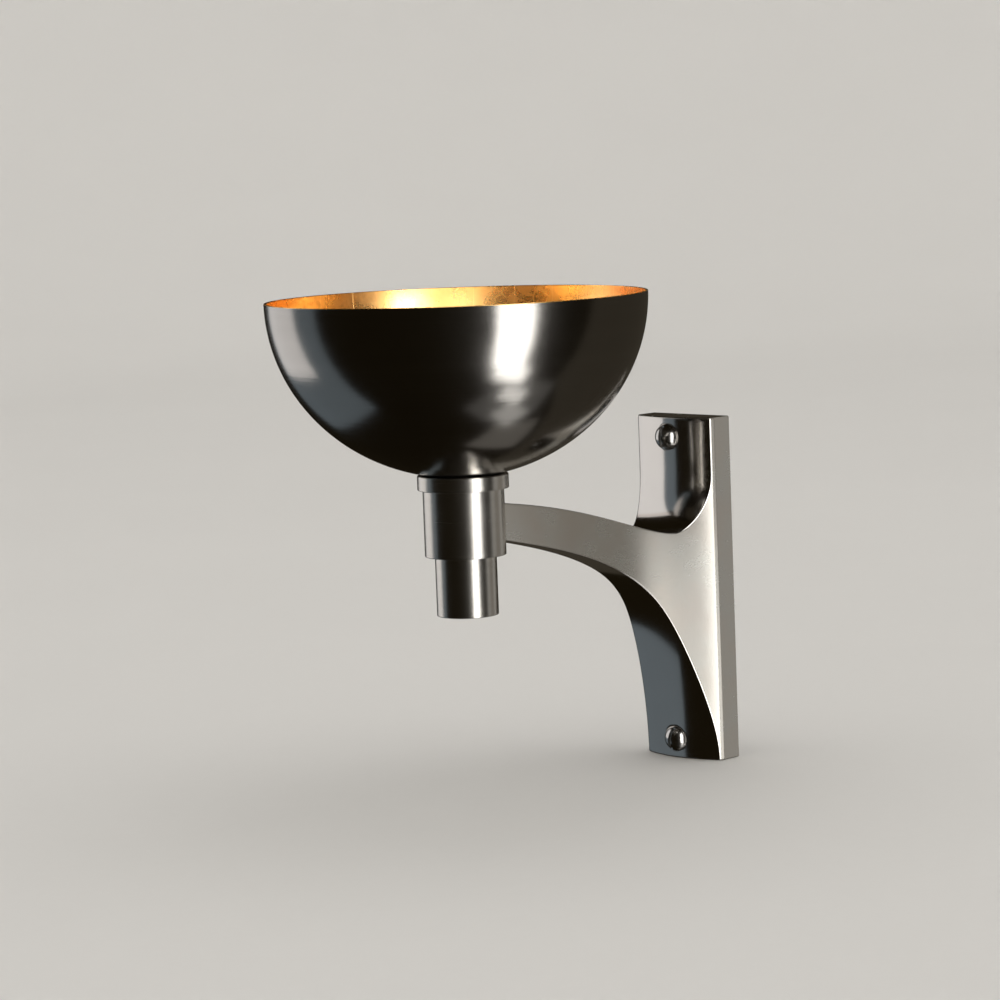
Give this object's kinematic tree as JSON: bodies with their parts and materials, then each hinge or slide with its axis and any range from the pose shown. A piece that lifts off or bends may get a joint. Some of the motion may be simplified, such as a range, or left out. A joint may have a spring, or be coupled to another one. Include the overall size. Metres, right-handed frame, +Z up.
{
  "type": "uplighter wall sconce",
  "caption": "Uplighter wall sconce: an open bowl with gold leaf inside, on a turned cup with a narrower sleeve below, held by a cast arm that sweeps out of a tall narrow wall plate.",
  "frame": {"origin": "on the wall face of the plate, midway between the two fixing screws", "axes": "+Y into the wall, so the light stands out towards -Y; +Z up; +X across the plate, to the right seen from the room"},
  "size_m": [0.2, 0.302, 0.2678],
  "materials": {
    "polished_nickel": "polished and satin nickel plate",
    "screw_nickel": "polished nickel plate",
    "bowl_nickel": "dark polished nickel with spun lines outside, gold leaf inside",
    "raw_brass": "plain turned brass",
    "zinc_steel": "bright zinc plate",
    "glazed_ceramic": "white glazed ceramic",
    "black_resin": "moulded black resin",
    "lamp_solder": "solder",
    "lamp_insulator": "black glass",
    "lamp_cap_metal": "bare",
    "opal_glass": "opal",
    "clear_glass": "clear",
    "filament_wire": "fine coiled wire",
    "ivory_plastic": "moulded",
    "live_insulation": "smooth",
    "neutral_insulation": "smooth",
    "earth_insulation": "smooth, striped green and yellow"
  },
  "bodies": {
    "fixture": {"wall_bracket": "polished_nickel", "upper_wall_screw": "screw_nickel", "lower_wall_screw": "screw_nickel", "lamp_cup": "polished_nickel", "seat_collar": "polished_nickel", "lower_sleeve": "polished_nickel", "bowl": "bowl_nickel", "arm_nipple": "raw_brass", "saddle_washer": "zinc_steel", "arm_nipple_nut": "zinc_steel", "stem_rod": "raw_brass", "floor_lock_washer": "zinc_steel", "floor_locknut": "zinc_steel", "bridge_lower_nut": "zinc_steel", "holder_bridge": "zinc_steel", "bridge_upper_nut": "zinc_steel", "bridge_screws": "zinc_steel", "lampholder_body": "glazed_ceramic", "lampholder_shell": "raw_brass", "centre_contact": "raw_brass", "holder_terminals": "raw_brass", "holder_terminal_screws": "zinc_steel", "shade_ring": "black_resin", "terminal_block": "ivory_plastic", "terminal_barrels": "raw_brass", "terminal_screws": "zinc_steel", "block_screw": "zinc_steel", "earth_screw": "raw_brass", "earth_tag": "raw_brass", "live_wire": "live_insulation", "neutral_wire": "neutral_insulation", "earth_wire": "earth_insulation"},
    "lamp_travel": {"bulb_contact": "lamp_solder"},
    "lamp": {"bulb_insulator": "lamp_insulator", "bulb_cap": "lamp_cap_metal", "bulb_globe": "opal_glass", "bulb_stem": "clear_glass", "bulb_filament": "filament_wire"}
  },
  "joints": [
    {"name": "lamp_rise", "type": "slide", "parent": "fixture", "child": "lamp_travel", "axis": [0, 0, 1], "range_m": [0, 0.00847]},
    {"name": "lamp_turn", "type": "hinge", "parent": "lamp_travel", "child": "lamp", "pos_m": [0, -0.18, 0.075], "axis": [0, 0, 1], "range_deg": [0, 1080]}
  ],
  "couplings": [
    {"joint": "lamp_rise", "follows": "lamp_turn", "m_per_rad": 0.00044914}
  ]
}
